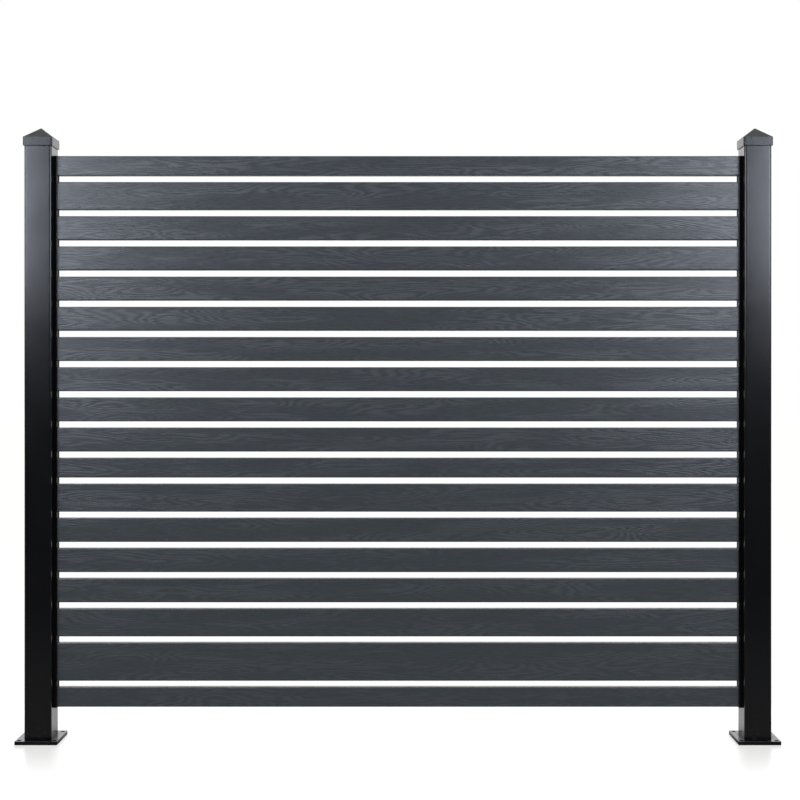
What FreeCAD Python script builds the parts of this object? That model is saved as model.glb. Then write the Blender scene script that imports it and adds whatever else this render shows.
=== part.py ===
import FreeCAD, Part
import Sketcher
import math
import os

# Garden privacy screen: eighteen hollow wood-grain slats between two capped square posts.
# Millimetres, +Z up, +X along the panel, front towards -Y. The origin is on the ground,
# midway between the posts.

SIZES = [
    # alias, value, what it is
    ("clear_width", 2286, "from post to post, between their inner faces"),
    ("ground_gap", 109, "from the ground to the foot of the side channels"),
    ("post_above_panel", 55, "from the top slat to the end of the post tube"),
    ("post_width", 90, "square post, outside"),
    ("post_wall", 2.5, "post tube wall"),
    ("post_corner_radius", 7, "post tube, outside corner"),
    ("port_inset", 4.5, "from the inside of the post wall to the middle of a screw port"),
    ("port_radius", 6, "outside of a screw port"),
    ("cap_clearance", 0.75, "between post and cap skirt, each side"),
    ("cap_wall", 3, "cap skirt, ceiling and roof"),
    ("cap_skirt", 26, "how far the cap reaches down over the post"),
    ("cap_corner_radius", 5, "cap, outside corner"),
    ("cap_rise", 35, "height of the cap's pyramid"),
    ("cap_tip_width", 3, "blunt tip of the pyramid"),
    ("cap_ledge", 5, "ring inside the cap that sits on the post, inward of its wall"),
    ("cap_edge_radius", 1, "soft edges of the cap"),
    ("plate_width", 140, "square base plate"),
    ("plate_thickness", 12, "base plate"),
    ("plate_corner_radius", 3, "base plate, upright corners"),
    ("plate_edge_chamfer", 0.8, "base plate, upper edge"),
    ("anchor_inset", 13, "from the plate's edge to the middle of an anchor hole"),
    ("anchor_hole_diameter", 14, "for a 12 mm anchor"),
    ("plate_screw_diameter", 5, "thread that bites into a screw port"),
    ("plate_screw_length", 45, "from head to tip"),
    ("plate_screw_head_radius", 6, "countersunk head"),
    ("plate_screw_recess", 0.5, "head below the underside of the plate"),
    ("plate_screw_clearance", 0.75, "around the screw in the plate"),
    ("screw_drive_diameter", 4, "round drive recess in a screw head"),
    ("screw_drive_depth", 1.5, "depth of that recess"),
    ("channel_width", 11.5, "how far the side channel stands out from the post"),
    ("channel_wall", 2, "web, flanges and floor of the side channel"),
    ("channel_clearance", 0.5, "between slat and flange, each side"),
    ("slat_end_clearance", 3, "between slat end and channel web"),
    ("spacer_inset", 0.5, "spacer behind the lip of the channel"),
    ("channel_screw_count", 6, "screws in each channel"),
    ("channel_screw_margin", 60, "from a channel end to its nearest screw"),
    ("channel_screw_diameter", 4, "shank that bites into the post wall"),
    ("channel_screw_length", 12, "below the head"),
    ("channel_screw_head_diameter", 8, "pan head"),
    ("channel_screw_head_height", 2.2, "pan head"),
    ("channel_screw_clearance", 0.25, "around the shank in the web"),
    ("slat_thickness", 24, "front to back"),
    ("slat_gap", 20.4, "between one slat and the next"),
    ("slat_edge_radius", 4, "long edges of a slat"),
    ("slat_wall", 4.5, "outer walls of a slat"),
    ("slat_web", 3.5, "inner webs of a slat"),
    ("slat_cell_radius", 1.5, "corners of a slat's cells"),
    ("narrow_height", 66, "narrow slat"),
    ("narrow_cells", 2, "cells in a narrow slat"),
    ("regular_height", 80, "regular slat"),
    ("regular_cells", 3, "cells in a regular slat"),
    ("wide_height", 93, "wide slat"),
    ("wide_cells", 3, "cells in a wide slat"),
    ("tall_height", 127, "tall slat"),
    ("tall_cells", 4, "cells in a tall slat"),
]

# The slats from top to bottom, by the name of their height.
LAYOUT = (["narrow", "wide"] + ["regular"] * 8 + ["narrow", "wide"] + ["regular"] * 3
          + ["wide", "tall", "narrow"])


# Two heights nearer than this are the same height.
TOUCHING = 1e-4


def stack_height(kinds):
    """The height of some slats, each with the gap that follows it."""
    terms = ["%d * sizes.%s_height" % (kinds.count(kind), kind) for kind in sorted(set(kinds))]
    return " + ".join(terms + ["%d * sizes.slat_gap" % len(kinds)])


PANEL_LENGTH = "sizes.clear_width - 2 * (sizes.channel_wall + sizes.slat_end_clearance)"
CHANNEL_DEPTH = "(sizes.slat_thickness + 2 * (sizes.channel_clearance + sizes.channel_wall))"
CHANNEL_LENGTH = "(sizes.channel_wall + %s - sizes.slat_gap)" % stack_height(LAYOUT)
POST_LENGTH = "(sizes.ground_gap - sizes.plate_thickness + %s + sizes.post_above_panel)" % CHANNEL_LENGTH
SCREW_SPAN = "(%s - 2 * sizes.channel_screw_margin)" % CHANNEL_LENGTH
SCREW_PITCH = "%s / (sizes.channel_screw_count - 1)" % SCREW_SPAN
POST_CENTRE = "(sizes.clear_width + sizes.post_width) / 2"
PORT_CENTRE = "sizes.post_width / 2 - sizes.post_wall - sizes.port_inset"
ANCHOR_CENTRE = "sizes.plate_width / 2 - sizes.anchor_inset"
CAP_WIDTH = "(sizes.post_width + 2 * (sizes.cap_clearance + sizes.cap_wall))"

doc = FreeCAD.newDocument("garden_privacy_screen")
sheet = doc.addObject("Spreadsheet::Sheet", "sizes")
for row, (alias, value, note) in enumerate(SIZES, start=1):
    sheet.set("A%d" % row, alias)
    sheet.set("B%d" % row, str(value))
    sheet.set("C%d" % row, note)
    sheet.setAlias("B%d" % row, alias)
doc.recompute()


def bind(item, **expressions):
    """Bind properties of an object to expressions over the sheet."""
    for name, expression in expressions.items():
        item.setExpression(name.replace("__", "."), str(expression))


def number(expression):
    """The present value of an expression over the sheet."""
    value = sheet.evalExpression(expression)
    return float(getattr(value, "Value", value))


def new_body(label):
    body = doc.addObject("PartDesign::Body", label)
    body.Label = label
    return body


def origin_feature(body, role):
    """One of the body's own base planes or axes."""
    return [item for item in body.Origin.OriginFeatures if item.Role == role][0]


def attach(item, body, plane, at):
    """Lay an object on a base plane of its body, moved by the expressions in at."""
    item.AttachmentSupport = [(origin_feature(body, plane), "")]
    item.MapMode = "FlatFace"
    for letter, expression in zip("xyz", at):
        item.setExpression("AttachmentOffset.Base." + letter, str(expression))


def new_sketch(body, name, plane, at=(0, 0, 0)):
    sketch = body.newObject("Sketcher::SketchObject", name)
    attach(sketch, body, plane, at)
    return sketch


def drive(sketch, rule, expression):
    """Add a constraint whose value follows an expression over the sheet."""
    index = sketch.addConstraint(rule)
    sketch.setExpression("Constraints[%d]" % index, expression)


def draw_circle(sketch, diameter):
    """A circle about the sketch's origin."""
    size = number(diameter)
    circle = Part.Circle(FreeCAD.Vector(0, 0, 0), FreeCAD.Vector(0, 0, 1), size / 2)
    index = sketch.addGeometry(circle)
    sketch.addConstraint(Sketcher.Constraint("Coincident", index, 3, -1, 1))
    drive(sketch, Sketcher.Constraint("Diameter", index, size), diameter)


def draw_rectangle(sketch, width, height, radius):
    """A rectangle with round corners about the sketch's origin."""
    half_width = number(width) / 2
    half_height = number(height) / 2
    round_size = number(radius)
    middle_x = half_width - round_size
    middle_y = half_height - round_size
    up = FreeCAD.Vector(0, 0, 1)
    quarter = math.pi / 2
    signs = [(1, 1), (-1, 1), (-1, -1), (1, -1)]
    arcs = []
    for index, (sign_x, sign_y) in enumerate(signs):
        ring = Part.Circle(FreeCAD.Vector(sign_x * middle_x, sign_y * middle_y, 0), up, round_size)
        arcs.append(sketch.addGeometry(Part.ArcOfCircle(ring, index * quarter, (index + 1) * quarter)))
    sides = []
    for index in range(4):
        start = sketch.Geometry[arcs[index]].EndPoint
        end = sketch.Geometry[arcs[(index + 1) % 4]].StartPoint
        sides.append(sketch.addGeometry(Part.LineSegment(start, end)))
    for index in range(4):
        sketch.addConstraint(Sketcher.Constraint("Tangent", arcs[index], 2, sides[index], 1))
        sketch.addConstraint(Sketcher.Constraint("Tangent", sides[index], 2, arcs[(index + 1) % 4], 1))
    for index in range(1, 4):
        sketch.addConstraint(Sketcher.Constraint("Equal", arcs[0], arcs[index]))
    sketch.addConstraint(Sketcher.Constraint("Horizontal", sides[0]))
    sketch.addConstraint(Sketcher.Constraint("Vertical", sides[1]))
    sketch.addConstraint(Sketcher.Constraint("Symmetric", arcs[0], 3, arcs[2], 3, -1, 1))
    across = Sketcher.Constraint("DistanceX", arcs[1], 3, arcs[0], 3, 2 * middle_x)
    along = Sketcher.Constraint("DistanceY", arcs[2], 3, arcs[1], 3, 2 * middle_y)
    drive(sketch, Sketcher.Constraint("Radius", arcs[0], round_size), radius)
    drive(sketch, across, "%s - 2 * (%s)" % (width, radius))
    drive(sketch, along, "%s - 2 * (%s)" % (height, radius))


def pad(body, sketch, length, symmetric=False):
    feature = body.newObject("PartDesign::Pad", sketch.Name + "_pad")
    feature.Profile = sketch
    feature.SideType = "Symmetric" if symmetric else "One side"
    bind(feature, Length=length)
    return feature


def pocket(body, sketch, length=None):
    """Cut a sketch along its plane's normal, to a length or through all that lies that way."""
    feature = body.newObject("PartDesign::Pocket", sketch.Name + "_pocket")
    feature.Profile = sketch
    feature.Reversed = True
    if length is None:
        feature.Type = "ThroughAll"
    else:
        bind(feature, Length=length)
    return feature


def loft(body, kind, first, last):
    feature = body.newObject("PartDesign::" + kind, first.Name + "_loft")
    feature.Profile = first
    feature.Sections = [last]
    feature.Ruled = True
    return feature


def primitive(body, kind, name, plane, at, **sizes):
    """An additive or subtractive cylinder or cone, square to a base plane."""
    feature = body.newObject("PartDesign::" + kind, name)
    attach(feature, body, plane, at)
    bind(feature, **sizes)
    return feature


def polar_pattern(body, originals, count):
    """Copies about the body's upright axis."""
    doc.recompute()
    feature = body.newObject("PartDesign::PolarPattern", originals[0].Name + "_ring")
    feature.Originals = originals
    feature.Axis = (origin_feature(body, "Z_Axis"), [""])
    feature.Angle = 360
    feature.Occurrences = count
    body.Tip = feature


def upright_row(body, originals, pitch, count):
    """Copies in a row up the body, of some features or, where none are given, of all of it."""
    doc.recompute()
    feature = body.newObject("PartDesign::LinearPattern", body.Name + "_row")
    if originals:
        feature.Originals = originals
    else:
        feature.TransformMode = "Whole shape"
    feature.Direction = (origin_feature(body, "Z_Axis"), [""])
    feature.Mode = "Spacing"
    bind(feature, Offset=pitch, Occurrences=count)
    body.Tip = feature


def edges_at_height(shape, height):
    """Names of the edges that lie level at one height."""
    names = []
    for count, edge in enumerate(shape.Edges, start=1):
        box = edge.BoundBox
        if abs(box.ZMin - height) < TOUCHING and abs(box.ZMax - height) < TOUCHING:
            names.append("Edge%d" % count)
    return names


def place_at_side(item, side, distance, height):
    """Put an item on the left (-1) or right (1), turned so that its +X faces the panel."""
    item.Placement.Rotation = FreeCAD.Rotation(FreeCAD.Vector(0, 0, 1), 0 if side < 0 else 180)
    bind(item, Placement__Base__x="%d * (%s)" % (side, distance), Placement__Base__z=height)


def make_slat(label, kind, centre_height):
    """A hollow plank along X with its cells in a row, one above the other."""
    height = "sizes.%s_height" % kind
    cells = "sizes.%s_cells" % kind
    cell_width = "sizes.slat_thickness - 2 * sizes.slat_wall"
    cells_total = "(%s - 2 * sizes.slat_wall - (%s - 1) * sizes.slat_web)" % (height, cells)
    cell_height = "%s / %s" % (cells_total, cells)
    lowest_cell = "sizes.slat_wall + %s / 2 - %s / 2" % (cell_height, height)
    body = new_body(label)
    outline = new_sketch(body, label + "_outline", "YZ_Plane")
    draw_rectangle(outline, "sizes.slat_thickness", height, "sizes.slat_edge_radius")
    pad(body, outline, PANEL_LENGTH, symmetric=True)
    slat_end = "-(%s) / 2" % PANEL_LENGTH
    cell = new_sketch(body, label + "_cell", "YZ_Plane", at=(0, lowest_cell, slat_end))
    draw_rectangle(cell, cell_width, cell_height, "sizes.slat_cell_radius")
    upright_row(body, [pocket(body, cell)], "%s + sizes.slat_web" % cell_height, cells)
    bind(body, Placement__Base__z=centre_height)
    return body


def slat_foot(index):
    """The height of the lower edge of a slat, counted from 1 at the top."""
    return "sizes.ground_gap + sizes.channel_wall + %s" % stack_height(LAYOUT[index:])


def make_slats():
    """The slats from the top one down, each standing off the next by the gap."""
    slats = []
    for index, kind in enumerate(LAYOUT, start=1):
        centre_height = "%s + sizes.%s_height / 2" % (slat_foot(index), kind)
        slats.append(make_slat("slat_%02d" % index, kind, centre_height))
    return slats


def make_post(name, side):
    """A square tube with four screw ports and a row of holes in its inner face."""
    body = new_body(name + "_post")
    outline = new_sketch(body, name + "_tube", "XY_Plane")
    draw_rectangle(outline, "sizes.post_width", "sizes.post_width", "sizes.post_corner_radius")
    pad(body, outline, POST_LENGTH)
    inside = "sizes.post_width - 2 * sizes.post_wall"
    bore = new_sketch(body, name + "_tube_bore", "XY_Plane")
    draw_rectangle(bore, inside, inside, "sizes.post_corner_radius - sizes.post_wall")
    pocket(body, bore)
    port = new_sketch(body, name + "_port", "XY_Plane", at=(PORT_CENTRE, PORT_CENTRE, 0))
    draw_circle(port, "2 * sizes.port_radius")
    draw_circle(port, "sizes.plate_screw_diameter")
    polar_pattern(body, [pad(body, port, POST_LENGTH)], 4)
    first_hole = "sizes.ground_gap - sizes.plate_thickness + sizes.channel_screw_margin"
    hole = new_sketch(body, name + "_post_hole", "YZ_Plane", at=(0, first_hole, 0))
    draw_circle(hole, "sizes.channel_screw_diameter")
    upright_row(body, [pocket(body, hole)], SCREW_PITCH, "sizes.channel_screw_count")
    place_at_side(body, side, POST_CENTRE, "sizes.plate_thickness")
    return body


def make_cap(name, side):
    """A low hollow pyramid on a skirt that slips over the post and sits on its end."""
    body = new_body(name + "_post_cap")
    rim = "sizes.cap_skirt + sizes.cap_wall"
    outline = new_sketch(body, name + "_cap_skirt", "XY_Plane")
    draw_rectangle(outline, CAP_WIDTH, CAP_WIDTH, "sizes.cap_corner_radius")
    pad(body, outline, rim)
    eaves = new_sketch(body, name + "_cap_eaves", "XY_Plane", at=(0, 0, rim))
    draw_rectangle(eaves, CAP_WIDTH, CAP_WIDTH, "sizes.cap_corner_radius")
    tip = new_sketch(body, name + "_cap_tip", "XY_Plane", at=(0, 0, "%s + sizes.cap_rise" % rim))
    draw_rectangle(tip, "sizes.cap_tip_width", "sizes.cap_tip_width", "sizes.cap_tip_width / 4")
    roof = loft(body, "AdditiveLoft", eaves, tip)
    doc.recompute()
    soften = body.newObject("PartDesign::Fillet", name + "_cap_edges")
    soft_edges = edges_at_height(roof.Shape, number(rim)) + edges_at_height(roof.Shape, 0)
    soften.Base = (roof, soft_edges)
    bind(soften, Radius="sizes.cap_edge_radius")
    socket = new_sketch(body, name + "_cap_socket", "XY_Plane")
    socket_width = "sizes.post_width + 2 * sizes.cap_clearance"
    draw_rectangle(socket, socket_width, socket_width, "sizes.post_corner_radius + sizes.cap_clearance")
    pocket(body, socket, length="sizes.cap_skirt")
    attic_width = "sizes.post_width - 2 * (sizes.post_wall + sizes.cap_ledge)"
    attic = new_sketch(body, name + "_cap_attic", "XY_Plane", at=(0, 0, "sizes.cap_skirt"))
    draw_rectangle(attic, attic_width, attic_width, "sizes.cap_corner_radius")
    attic_top = "%s + sizes.cap_rise / 2" % rim
    ridge_width = "%s / 3" % CAP_WIDTH
    ridge = new_sketch(body, name + "_cap_ridge", "XY_Plane", at=(0, 0, attic_top))
    draw_rectangle(ridge, ridge_width, ridge_width, "sizes.cap_corner_radius / 2")
    loft(body, "SubtractiveLoft", attic, ridge)
    height = "sizes.plate_thickness + %s - sizes.cap_skirt" % POST_LENGTH
    place_at_side(body, side, POST_CENTRE, height)
    return body


def make_plate(name, side):
    """A square foot with four anchor holes and four countersunk holes for the post screws."""
    body = new_body(name + "_base_plate")
    outline = new_sketch(body, name + "_plate", "XY_Plane")
    draw_rectangle(outline, "sizes.plate_width", "sizes.plate_width", "sizes.plate_corner_radius")
    slab = pad(body, outline, "sizes.plate_thickness")
    doc.recompute()
    bevel = body.newObject("PartDesign::Chamfer", name + "_plate_bevel")
    bevel.Base = (slab, edges_at_height(slab.Shape, number("sizes.plate_thickness")))
    bind(bevel, Size="sizes.plate_edge_chamfer")
    anchor = new_sketch(body, name + "_anchor_hole", "XY_Plane", at=(ANCHOR_CENTRE, ANCHOR_CENTRE, 0))
    draw_circle(anchor, "sizes.anchor_hole_diameter")
    polar_pattern(body, [pocket(body, anchor)], 4)
    hole_radius = "sizes.plate_screw_diameter / 2 + sizes.plate_screw_clearance"
    mouth_radius = "sizes.plate_screw_head_radius + sizes.plate_screw_recess"
    screw_hole = new_sketch(body, name + "_plate_hole", "XY_Plane", at=(PORT_CENTRE, PORT_CENTRE, 0))
    draw_circle(screw_hole, "2 * (%s)" % hole_radius)
    shaft = pocket(body, screw_hole)
    sink = primitive(body, "SubtractiveCone", name + "_countersink", "XY_Plane",
                     (PORT_CENTRE, PORT_CENTRE, 0), Radius1=mouth_radius, Radius2=hole_radius,
                     Height="%s - (%s)" % (mouth_radius, hole_radius))
    polar_pattern(body, [shaft, sink], 4)
    place_at_side(body, side, POST_CENTRE, 0)
    return body


def make_plate_screws(name, side):
    """Four countersunk screws, up through the plate into the screw ports."""
    body = new_body(name + "_plate_screws")
    body.AllowCompound = True
    foot = (PORT_CENTRE, PORT_CENTRE, 0)
    thread_radius = "sizes.plate_screw_diameter / 2"
    tip_length = "sizes.plate_screw_diameter"
    shank_length = "sizes.plate_screw_length - %s" % tip_length
    head = primitive(body, "AdditiveCone", name + "_plate_screw_head", "XY_Plane", foot,
                     Radius1="sizes.plate_screw_head_radius", Radius2=thread_radius,
                     Height="sizes.plate_screw_head_radius - %s" % thread_radius)
    shank = primitive(body, "AdditiveCylinder", name + "_plate_screw_shank", "XY_Plane", foot,
                      Radius=thread_radius, Height=shank_length)
    tip = primitive(body, "AdditiveCone", name + "_plate_screw_tip", "XY_Plane",
                    (PORT_CENTRE, PORT_CENTRE, shank_length),
                    Radius1=thread_radius, Radius2="%s / 4" % thread_radius, Height=tip_length)
    recess = primitive(body, "SubtractiveCylinder", name + "_plate_screw_drive", "XY_Plane", foot,
                       Radius="sizes.screw_drive_diameter / 2", Height="sizes.screw_drive_depth")
    polar_pattern(body, [head, shank, tip, recess], 4)
    place_at_side(body, side, POST_CENTRE, "sizes.plate_screw_recess")
    return body


def make_channel(name, side):
    """A U channel with a closed foot, screwed to the post; it takes the slat ends."""
    body = new_body(name + "_side_channel")
    edge_radius = "sizes.channel_wall / 4"
    outline = new_sketch(body, name + "_channel", "YZ_Plane", at=(0, "%s / 2" % CHANNEL_LENGTH, 0))
    draw_rectangle(outline, CHANNEL_DEPTH, CHANNEL_LENGTH, edge_radius)
    pad(body, outline, "sizes.channel_width")
    # The groove is as long as the channel and starts one wall higher, so it is open at the top.
    groove_middle = "%s / 2 + sizes.channel_wall" % CHANNEL_LENGTH
    groove = new_sketch(body, name + "_channel_groove", "YZ_Plane",
                        at=(0, groove_middle, "sizes.channel_wall"))
    draw_rectangle(groove, "%s - 2 * sizes.channel_wall" % CHANNEL_DEPTH, CHANNEL_LENGTH, edge_radius)
    pocket(body, groove)
    hole = new_sketch(body, name + "_channel_hole", "YZ_Plane", at=(0, "sizes.channel_screw_margin", 0))
    draw_circle(hole, "sizes.channel_screw_diameter + 2 * sizes.channel_screw_clearance")
    upright_row(body, [pocket(body, hole)], SCREW_PITCH, "sizes.channel_screw_count")
    place_at_side(body, side, "sizes.clear_width / 2", "sizes.ground_gap")
    return body


def make_channel_screws(name, side):
    """A row of pan-head screws from the channel web into the post wall."""
    body = new_body(name + "_channel_screws")
    body.AllowCompound = True
    shank_radius = "sizes.channel_screw_diameter / 2"
    tip_length = "sizes.channel_screw_diameter"
    shank_length = "(sizes.channel_screw_length - %s)" % tip_length
    shank_start = "sizes.channel_wall - %s" % shank_length
    tip_start = "sizes.channel_wall - sizes.channel_screw_length"
    recess_floor = "sizes.channel_wall + sizes.channel_screw_head_height - sizes.screw_drive_depth"
    primitive(body, "AdditiveCylinder", name + "_channel_screw_head", "YZ_Plane",
              (0, 0, "sizes.channel_wall"), Radius="sizes.channel_screw_head_diameter / 2",
              Height="sizes.channel_screw_head_height")
    primitive(body, "AdditiveCylinder", name + "_channel_screw_shank", "YZ_Plane",
              (0, 0, shank_start), Radius=shank_radius, Height=shank_length)
    primitive(body, "AdditiveCone", name + "_channel_screw_tip", "YZ_Plane", (0, 0, tip_start),
              Radius1="%s / 4" % shank_radius, Radius2=shank_radius, Height=tip_length)
    primitive(body, "SubtractiveCylinder", name + "_channel_screw_drive", "YZ_Plane",
              (0, 0, recess_floor), Radius="sizes.screw_drive_diameter / 2",
              Height="sizes.screw_drive_depth")
    upright_row(body, [], SCREW_PITCH, "sizes.channel_screw_count")
    height = "sizes.ground_gap + sizes.channel_screw_margin"
    place_at_side(body, side, "sizes.clear_width / 2", height)
    return body


def make_spacers(name, side):
    """A block in the channel between each slat and the next."""
    blocks = []
    start = "sizes.channel_wall + sizes.slat_end_clearance"
    for index in range(1, len(LAYOUT)):
        block = doc.addObject("Part::Box", "%s_spacer_%02d" % (name, index))
        foot = "%s - sizes.slat_gap" % slat_foot(index)
        bind(block, Length="sizes.channel_width - (%s) - sizes.spacer_inset" % start,
             Width="sizes.slat_thickness", Height="sizes.slat_gap",
             Placement__Base__x=start, Placement__Base__y="-sizes.slat_thickness / 2",
             Placement__Base__z=foot)
        blocks.append(block)
    group = doc.addObject("Part::Compound", name + "_slat_spacers")
    group.Links = blocks
    place_at_side(group, side, "sizes.clear_width / 2", 0)
    return group


def check(pieces):
    """Stop before anything is written if an object failed or a cut cut nothing."""
    for item in doc.Objects:
        if "Invalid" in item.State or "Error" in item.State:
            raise RuntimeError("%s failed: %s" % (item.Label, item.State))
        if item.TypeId == "PartDesign::Pocket" and item.Shape.Volume >= item.BaseFeature.Shape.Volume:
            raise RuntimeError("%s cuts nothing" % item.Label)
    for piece in pieces:
        if piece.Shape.isNull() or not piece.Shape.isValid():
            raise RuntimeError("%s has no valid shape" % piece.Label)


pieces = make_slats()
for name, side in (("left", -1), ("right", 1)):
    for make in (make_post, make_cap, make_plate, make_plate_screws, make_channel,
                 make_channel_screws, make_spacers):
        pieces.append(make(name, side))
doc.recompute()
check(pieces)

os.makedirs("parts", exist_ok=True)
for piece in pieces:
    piece.Shape.exportStep("parts/%s.step" % piece.Label)
    box = piece.Shape.BoundBox
    print("%-22s solids %2d  volume %10.1f  x %8.2f %8.2f  y %7.2f %7.2f  z %8.2f %8.2f" % (
        piece.Label, len(piece.Shape.Solids), piece.Shape.Volume,
        box.XMin, box.XMax, box.YMin, box.YMax, box.ZMin, box.ZMax))
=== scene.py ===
"""Stage, camera, light and finishes for the garden privacy screen.

Lengths are metres in the CAD frame: x runs along the panel, y from front to back, z up.
"""

import math

import bpy
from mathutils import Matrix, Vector

SIDES = ("left", "right")
SLAT_COUNT = 18

# Camera, as worked out from the corners of the posts, plates and slats in the picture.
IMAGE_SIZE = 800
FOCAL_LENGTH_PIXELS = 1346.1
OPTICAL_CENTRE_PIXELS = (409.3, 376.4)
CAMERA_PLACE = (0.0376, -4.483, 1.2093)
SENSOR_WIDTH = 36.0

# Light. A radiance of 1 shows as white. The studio, the ceiling and the foreground are what the
# glossy surfaces mirror; a ramp gives the places or directions where a level starts and is full.
WHITE = (1.0, 1.0, 1.0, 1.0)
AMBIENT_LEVEL = 0.66
STUDIO_LEVEL = 0.02
BACKDROP_RAMP = (0.55, 0.85)
CEILING_LEVEL = 0.75
CEILING_RAMP = (0.5, 0.8)
FOREGROUND_LEVEL = 0.14
FOREGROUND_RAMP = (-3.0, -0.7)
MIRRORED_FLOOR_RAMP = (-0.12, 0.25)
LAMP_TINT = (0.94, 1.0, 1.16)
KEY_HEIGHT = 2.63
KEY_SIZE = (1.2, 1.82)
LEFT_KEY = {"place": (-2.82, -3.15, KEY_HEIGHT), "aim": (-0.5, 0.0, KEY_HEIGHT), "radiance": 10.2}
RIGHT_KEY = {"place": (2.79, -3.16, KEY_HEIGHT), "aim": (0.5, 0.0, KEY_HEIGHT), "radiance": 11.2}
BACK_PLACE = (0.0, 3.2, 1.7)
BACK_SIZE = (5.0, 3.0)
BACK_RADIANCE = 0.4

# Floor. It is glossy near the screen's plane and matt further off, where the top-up makes up
# for the mirrored light that is missing.
FLOOR_SIZE = 60.0
FLOOR_COLOUR = (0.23, 0.22, 0.20, 1.0)
FLOOR_TOP_UP = 0.60
FLOOR_GLOSS_TOP_UP = 0.26
FLOOR_ROUGHNESS = 0.30
FLOOR_IOR = 1.55
FLOOR_MATT_FROM = 0.50
FLOOR_GLOSSY_TO = 0.04
FULL_SPECULAR = 0.5

# Finishes, linear colours. Scales are features per metre along x, y and z.
SLAT_TEAL = (0.0390, 0.0480, 0.0500, 1.0)
SLAT_VIOLET = (0.0435, 0.0470, 0.0535, 1.0)
# The valley colour is painted shade in the hollows of the embossed grain; the crest colour is the grain's
# raised tops.
SLAT_VALLEY_PAINTED_SHADE = (0.0394, 0.0454, 0.0485, 1.0)
SLAT_CREST = (0.0436, 0.0502, 0.0535, 1.0)
BLACK_COAT = (0.0030, 0.0030, 0.0034, 1.0)
BLACK_WORN = (0.030, 0.030, 0.031, 1.0)
DUST = (0.16, 0.155, 0.145, 1.0)
STEEL = (0.50, 0.50, 0.49, 1.0)
STEEL_STAIN = (0.30, 0.29, 0.27, 1.0)
PLASTIC = (0.010, 0.010, 0.011, 1.0)
PLASTIC_FADED = (0.018, 0.018, 0.019, 1.0)

KNOT_SCALE = (1.1, 9.0, 6.0)
FIGURE_SCALE = (2.2, 18.0, 18.0)
WAVER_SCALE = (13.0, 190.0, 190.0)
RING_PATCH_SCALE = (2.6, 24.0, 24.0)
FIBRE_SCALE = (17.0, 330.0, 330.0)
TICK_SCALE = (48.0, 460.0, 460.0)
HUE_PATCH_SCALE = (9.0, 45.0, 45.0)
RINGS_PER_FIGURE = 20.0
SLAT_IOR = 1.69
GRAIN_DEPTH = 0.00034

PEEL_DEPTH = 0.00003
WORN_EDGE = 0.0012
DUST_HEIGHT = 0.14
# How far the painted shade in inner corners reaches.
CORNER_SHADE_REACH = 0.03

# Roughness and refractive index of each coated part.
COATS = {
    "post": (0.20, 1.58),
    "cap": (0.27, 1.46),
    "plate": (0.20, 1.55),
    "channel": (0.25, 1.50),
}


def node(tree, kind, inputs=None, **settings):
    """A shader node with its settings made and its inputs set or linked."""
    made = tree.nodes.new("ShaderNode" + kind)
    for name, value in settings.items():
        setattr(made, name, value)
    for socket, value in (inputs or {}).items():
        if isinstance(value, bpy.types.NodeSocket):
            tree.links.new(value, made.inputs[socket])
        else:
            made.inputs[socket].default_value = value
    return made


def calc(tree, operation, *values):
    """The result of a Math node."""
    return node(tree, "Math", dict(enumerate(values)), operation=operation).outputs[0]


def remap(tree, value, low, high, to_low=0.0, to_high=1.0):
    """value taken smoothly from low..high to to_low..to_high."""
    inputs = {"Value": value, "From Min": low, "From Max": high, "To Min": to_low, "To Max": to_high}
    return node(tree, "MapRange", inputs, interpolation_type="SMOOTHSTEP").outputs[0]


def mix_colours(tree, factor, first, second):
    """The colour between first and second."""
    return node(tree, "Mix", {0: factor, 6: first, 7: second}, data_type="RGBA").outputs[2]


def stretched(tree, place, scale):
    """place with each axis scaled, so that a texture on it is drawn out along the small scales."""
    return node(tree, "Mapping", {"Vector": place, "Scale": scale}).outputs[0]


def noise(tree, place, detail=2.0, roughness=0.5, scale=1.0):
    """A noise value about 0.5."""
    inputs = {"Vector": place, "Scale": scale, "Detail": detail, "Roughness": roughness}
    return node(tree, "TexNoise", inputs).outputs["Fac"]


def edge_wear(tree, radius):
    """1 on edges and corners, 0 on flat faces."""
    rounded = node(tree, "Bevel", {"Radius": radius}, samples=6).outputs[0]
    true_normal = node(tree, "NewGeometry").outputs["True Normal"]
    facing = node(tree, "VectorMath", {0: rounded, 1: true_normal}, operation="DOT_PRODUCT").outputs["Value"]
    return remap(tree, facing, 0.995, 0.80)


def new_material(name):
    """An empty node material, its tree and the coordinates in the CAD frame."""
    made = bpy.data.materials.new(name)
    made.use_nodes = True
    tree = made.node_tree
    tree.nodes.clear()
    place = node(tree, "TexCoord").outputs["Object"]
    return made, tree, place


def surface(tree, inputs):
    """The material's one shader."""
    shader = node(tree, "BsdfPrincipled", inputs)
    output = node(tree, "OutputMaterial")
    tree.links.new(shader.outputs[0], output.inputs["Surface"])
    return shader


def bumped(tree, height, depth, strength=1.0):
    """The normal of a surface embossed depth metres deep."""
    return node(tree, "Bump", {"Height": height, "Distance": depth, "Strength": strength}).outputs[0]


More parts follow.
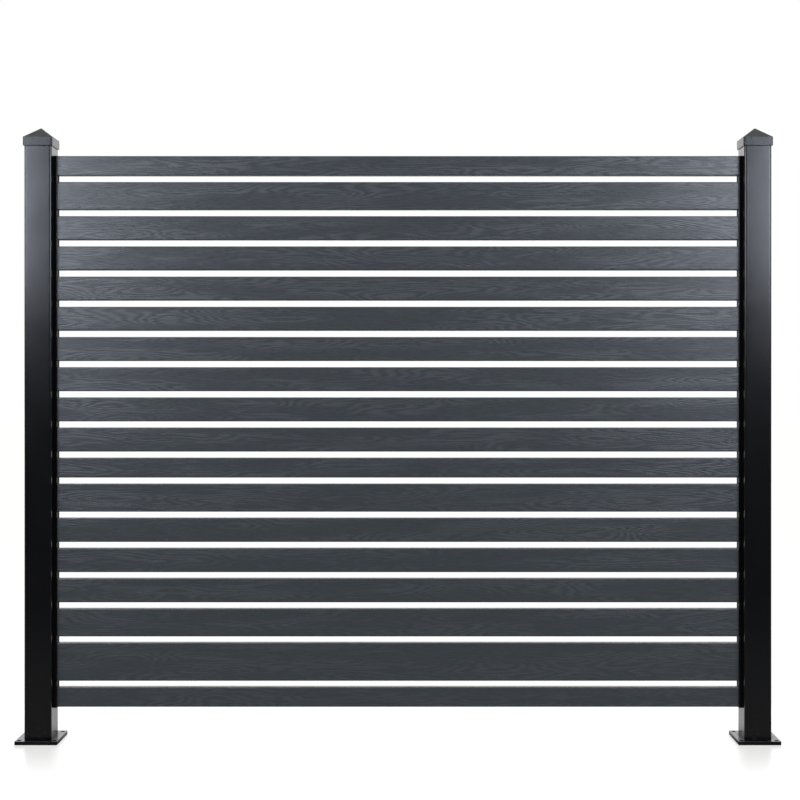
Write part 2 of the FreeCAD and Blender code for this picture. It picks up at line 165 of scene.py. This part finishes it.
def slat_material():
    """Charcoal composite with a rolled-in wood grain that runs along the slat, with painted shade in the
    grain's valleys.
    """
    made, tree, place = new_material("slat_grain")
    cells = node(tree, "TexVoronoi", {"Vector": stretched(tree, place, KNOT_SCALE), "Scale": 1.0})
    knot = remap(tree, cells.outputs["Distance"], 0.16, 0.0)
    figure = noise(tree, stretched(tree, place, FIGURE_SCALE), detail=1.0)
    waver = noise(tree, stretched(tree, place, WAVER_SCALE), detail=2.0)
    field = calc(tree, "MULTIPLY_ADD", knot, 0.22, figure)
    field = calc(tree, "MULTIPLY_ADD", waver, 0.05, field)
    rings = calc(tree, "SINE", calc(tree, "MULTIPLY", field, 2.0 * math.pi * RINGS_PER_FIGURE))
    rings = calc(tree, "MULTIPLY_ADD", rings, 0.5, 0.5)
    shown = remap(tree, noise(tree, stretched(tree, place, RING_PATCH_SCALE)), 0.38, 0.62, 0.15, 1.0)
    rings = calc(tree, "MULTIPLY", rings, shown)
    fibre = noise(tree, stretched(tree, place, FIBRE_SCALE), detail=3.0, roughness=0.6)
    ticks = remap(tree, noise(tree, stretched(tree, place, TICK_SCALE), detail=1.0), 0.52, 0.68)
    height = calc(tree, "MULTIPLY_ADD", fibre, 0.8, calc(tree, "MULTIPLY", rings, 0.6))
    height = calc(tree, "MULTIPLY_ADD", ticks, -0.33, height)
    patches = noise(tree, stretched(tree, place, HUE_PATCH_SCALE), detail=1.0)
    patchy = mix_colours(tree, remap(tree, patches, 0.42, 0.58), SLAT_TEAL, SLAT_VIOLET)
    raised = remap(tree, height, 0.1, 1.0)
    # Painted shade: the colour is darker in the grain's valleys than on its crests.
    colour = mix_colours(tree, raised, SLAT_VALLEY_PAINTED_SHADE, SLAT_CREST)
    colour = mix_colours(tree, 0.5, colour, patchy)
    roughness = calc(tree, "MULTIPLY_ADD", raised, 0.14, 0.29)
    surface(tree, {
        "Base Color": colour,
        "Roughness": roughness,
        "IOR": SLAT_IOR,
        "Specular IOR Level": calc(tree, "MULTIPLY_ADD", raised, 0.30, 0.32),
        "Normal": bumped(tree, height, GRAIN_DEPTH),
    })
    return made


def coat_material(name, roughness, ior):
    """Satin black powder coat: orange peel, uneven gloss, worn edges, low dust, and painted shade that dims
    reflections in inner corners.
    """
    made, tree, place = new_material(name)
    peel = noise(tree, place, detail=2.0, scale=520.0)
    cloud = noise(tree, place, detail=3.0, scale=7.0)
    speckle = remap(tree, noise(tree, place, detail=1.0, scale=1600.0), 0.62, 0.75)
    wear = calc(tree, "MULTIPLY", edge_wear(tree, WORN_EDGE), remap(tree, cloud, 0.35, 0.7, 0.15, 0.7))
    height = node(tree, "SeparateXYZ", {0: place}).outputs["Z"]
    low = remap(tree, height, DUST_HEIGHT, 0.0)
    dust = calc(tree, "MULTIPLY", low, remap(tree, noise(tree, place, detail=4.0, scale=60.0), 0.5, 0.8))
    shade = mix_colours(tree, wear, BLACK_COAT, BLACK_WORN)
    shade = mix_colours(tree, calc(tree, "MULTIPLY", speckle, 0.25), shade, BLACK_WORN)
    shade = mix_colours(tree, calc(tree, "MULTIPLY", dust, 0.05), shade, DUST)
    gloss = calc(tree, "MULTIPLY_ADD", cloud, 0.08, roughness - 0.04)
    gloss = calc(tree, "MULTIPLY_ADD", dust, 0.15, gloss)
    # Painted shade: reflections are dimmed where ambient occlusion finds inner corners, such as the foot of
    # the post on its plate.
    open_air = node(tree, "AmbientOcclusion", {"Distance": CORNER_SHADE_REACH}, samples=8).outputs["AO"]
    surface(tree, {
        "Base Color": shade,
        "Roughness": gloss,
        "IOR": ior,
        "Specular IOR Level": remap(tree, open_air, 0.35, 0.90, 0.05, FULL_SPECULAR),
        "Normal": bumped(tree, peel, PEEL_DEPTH),
    })
    return made


def steel_material():
    """Brushed stainless steel for the screws."""
    made, tree, place = new_material("screw_brushed_steel")
    brushed = noise(tree, stretched(tree, place, (300.0, 2600.0, 2600.0)), detail=3.0)
    stain = noise(tree, place, detail=2.0, scale=240.0)
    shade = mix_colours(tree, remap(tree, stain, 0.45, 0.75, 0.0, 0.35), STEEL, STEEL_STAIN)
    surface(tree, {
        "Base Color": shade,
        "Metallic": 1.0,
        "Roughness": calc(tree, "MULTIPLY_ADD", brushed, 0.2, 0.22),
        "Normal": bumped(tree, brushed, 0.00002),
    })
    return made


def plastic_material():
    """Moulded black plastic with a fine spark-eroded texture."""
    made, tree, place = new_material("spacer_moulded_plastic")
    texture = noise(tree, place, detail=3.0, scale=900.0)
    cloud = noise(tree, place, detail=2.0, scale=30.0)
    shade = mix_colours(tree, cloud, PLASTIC, PLASTIC_FADED)
    surface(tree, {
        "Base Color": shade,
        "Roughness": calc(tree, "MULTIPLY_ADD", texture, 0.2, 0.42),
        "Specular IOR Level": 0.02,
        "Normal": bumped(tree, texture, 0.00005),
    })
    return made


def dress(name, material):
    """Gives a CAD node its finish."""
    for slot in nodes[name].material_slots:
        slot.link = "OBJECT"
        slot.material = material


def light_rays(tree, glossy_share):
    """1 for camera and transmission rays, glossy_share for glossy rays, 0 for the rest."""
    path = node(tree, "LightPath").outputs
    glossy = calc(tree, "MULTIPLY", path["Is Glossy Ray"], glossy_share)
    seen = calc(tree, "MAXIMUM", path["Is Camera Ray"], path["Is Transmission Ray"])
    return calc(tree, "MAXIMUM", seen, glossy)


def make_world():
    """White behind the screen, a dim studio in front of it, and an even soft light from all round."""
    world = bpy.data.worlds.new("studio")
    bpy.context.scene.world = world
    world.use_nodes = True
    tree = world.node_tree
    tree.nodes.clear()
    direction = node(tree, "SeparateXYZ", {0: node(tree, "TexCoord").outputs["Generated"]}).outputs
    backdrop = remap(tree, direction["Y"], *BACKDROP_RAMP)
    ceiling = remap(tree, direction["Z"], *CEILING_RAMP, 0.0, CEILING_LEVEL)
    path = node(tree, "LightPath").outputs
    level = calc(tree, "MULTIPLY_ADD", path["Is Glossy Ray"], STUDIO_LEVEL - AMBIENT_LEVEL, AMBIENT_LEVEL)
    ambient = node(tree, "Background", {"Color": WHITE, "Strength": level}).outputs[0]
    white = node(tree, "Background", {"Color": WHITE, "Strength": 1.0}).outputs[0]
    factor = light_rays(tree, calc(tree, "MAXIMUM", backdrop, ceiling))
    mixed = node(tree, "MixShader", {0: factor, 1: ambient, 2: white}).outputs[0]
    output = node(tree, "OutputWorld")
    tree.links.new(mixed, output.inputs["Surface"])


def make_floor():
    """A pale floor that carries the shadow and a faint mirror image that fades away from the feet.

    Glossy rays see a level of its own instead, bright behind the screen and dim in front.
    """
    mesh = bpy.data.meshes.new("floor")
    half = FLOOR_SIZE / 2.0
    corners = [(-half, -half, 0.0), (half, -half, 0.0), (half, half, 0.0), (-half, half, 0.0)]
    mesh.from_pydata(corners, [], [(0, 1, 2, 3)])
    floor = bpy.data.objects.new("floor", mesh)
    bpy.context.scene.collection.objects.link(floor)
    made, tree, place = new_material("pale_floor")
    depth = node(tree, "SeparateXYZ", {0: place}).outputs["Y"]
    gloss = remap(tree, calc(tree, "ABSOLUTE", depth), FLOOR_MATT_FROM, FLOOR_GLOSSY_TO)
    top_up = calc(tree, "MULTIPLY_ADD", gloss, -FLOOR_GLOSS_TOP_UP, FLOOR_TOP_UP + FLOOR_GLOSS_TOP_UP)
    shader = surface(tree, {
        "Base Color": FLOOR_COLOUR,
        "Roughness": FLOOR_ROUGHNESS,
        "IOR": FLOOR_IOR,
        "Specular IOR Level": calc(tree, "MULTIPLY", gloss, FULL_SPECULAR),
        "Emission Color": WHITE,
        "Emission Strength": calc(tree, "MULTIPLY", light_rays(tree, 0.0), top_up),
    })
    foreground = remap(tree, depth, *FOREGROUND_RAMP, STUDIO_LEVEL, FOREGROUND_LEVEL)
    level = calc(tree, "MAXIMUM", foreground, remap(tree, depth, *MIRRORED_FLOOR_RAMP))
    mirrored = node(tree, "Emission", {"Color": WHITE, "Strength": level})
    path = node(tree, "LightPath").outputs
    mixed = node(tree, "MixShader", {0: path["Is Glossy Ray"], 1: shader.outputs[0], 2: mirrored.outputs[0]})
    tree.links.new(mixed.outputs[0], tree.nodes["Material Output"].inputs["Surface"])
    mesh.materials.append(made)


def soft_box(name, place, aim, size, radiance, tint=(1.0, 1.0, 1.0)):
    """A rectangular lamp of that radiance, out of the camera's sight."""
    lamp = bpy.data.lights.new(name, "AREA")
    lamp.shape = "RECTANGLE"
    lamp.size, lamp.size_y = size
    lamp.energy = 4.0 * size[0] * size[1] * radiance
    lamp.color = tint
    placed = bpy.data.objects.new(name, lamp)
    placed.location = place
    placed.rotation_euler = (Vector(aim) - Vector(place)).to_track_quat("-Z", "Y").to_euler()
    placed.visible_camera = False
    bpy.context.scene.collection.objects.link(placed)


def make_lights():
    """Two tall soft boxes high in front, one to each side, and a wide weak one behind."""
    soft_box("left_key", size=KEY_SIZE, tint=LAMP_TINT, **LEFT_KEY)
    soft_box("right_key", size=KEY_SIZE, tint=LAMP_TINT, **RIGHT_KEY)
    soft_box("back", BACK_PLACE, (0.0, 0.0, BACK_PLACE[2]), BACK_SIZE, BACK_RADIANCE)


def make_camera():
    """The camera where the photograph was taken from, level and square to the panel."""
    data = bpy.data.cameras.new("camera")
    data.sensor_width = SENSOR_WIDTH
    data.lens = SENSOR_WIDTH * FOCAL_LENGTH_PIXELS / IMAGE_SIZE
    data.shift_x = 0.5 - OPTICAL_CENTRE_PIXELS[0] / IMAGE_SIZE
    data.shift_y = OPTICAL_CENTRE_PIXELS[1] / IMAGE_SIZE - 0.5
    camera = bpy.data.objects.new("camera", data)
    camera.location = CAMERA_PLACE
    camera.rotation_euler = (math.pi / 2.0, 0.0, 0.0)
    bpy.context.scene.collection.objects.link(camera)
    bpy.context.scene.camera = camera


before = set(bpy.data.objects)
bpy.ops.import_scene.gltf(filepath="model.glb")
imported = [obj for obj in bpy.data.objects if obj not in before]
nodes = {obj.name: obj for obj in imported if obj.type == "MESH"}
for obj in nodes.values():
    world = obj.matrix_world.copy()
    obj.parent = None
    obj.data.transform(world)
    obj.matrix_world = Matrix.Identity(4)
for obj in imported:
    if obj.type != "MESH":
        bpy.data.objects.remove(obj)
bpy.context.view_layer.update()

bpy.context.scene.view_settings.view_transform = "Standard"
make_camera()
make_world()
make_floor()
make_lights()

slat_finish = slat_material()
coats = {part: coat_material(f"{part}_black_coat", *values) for part, values in COATS.items()}
screw_finish = steel_material()
spacer_finish = plastic_material()

for number in range(1, SLAT_COUNT + 1):
    dress(f"slat_{number:02d}", slat_finish)
for side in SIDES:
    dress(f"{side}_post", coats["post"])
    dress(f"{side}_post_cap", coats["cap"])
    dress(f"{side}_base_plate", coats["plate"])
    dress(f"{side}_side_channel", coats["channel"])
    dress(f"{side}_plate_screws", screw_finish)
    dress(f"{side}_channel_screws", screw_finish)
    dress(f"{side}_slat_spacers", spacer_finish)
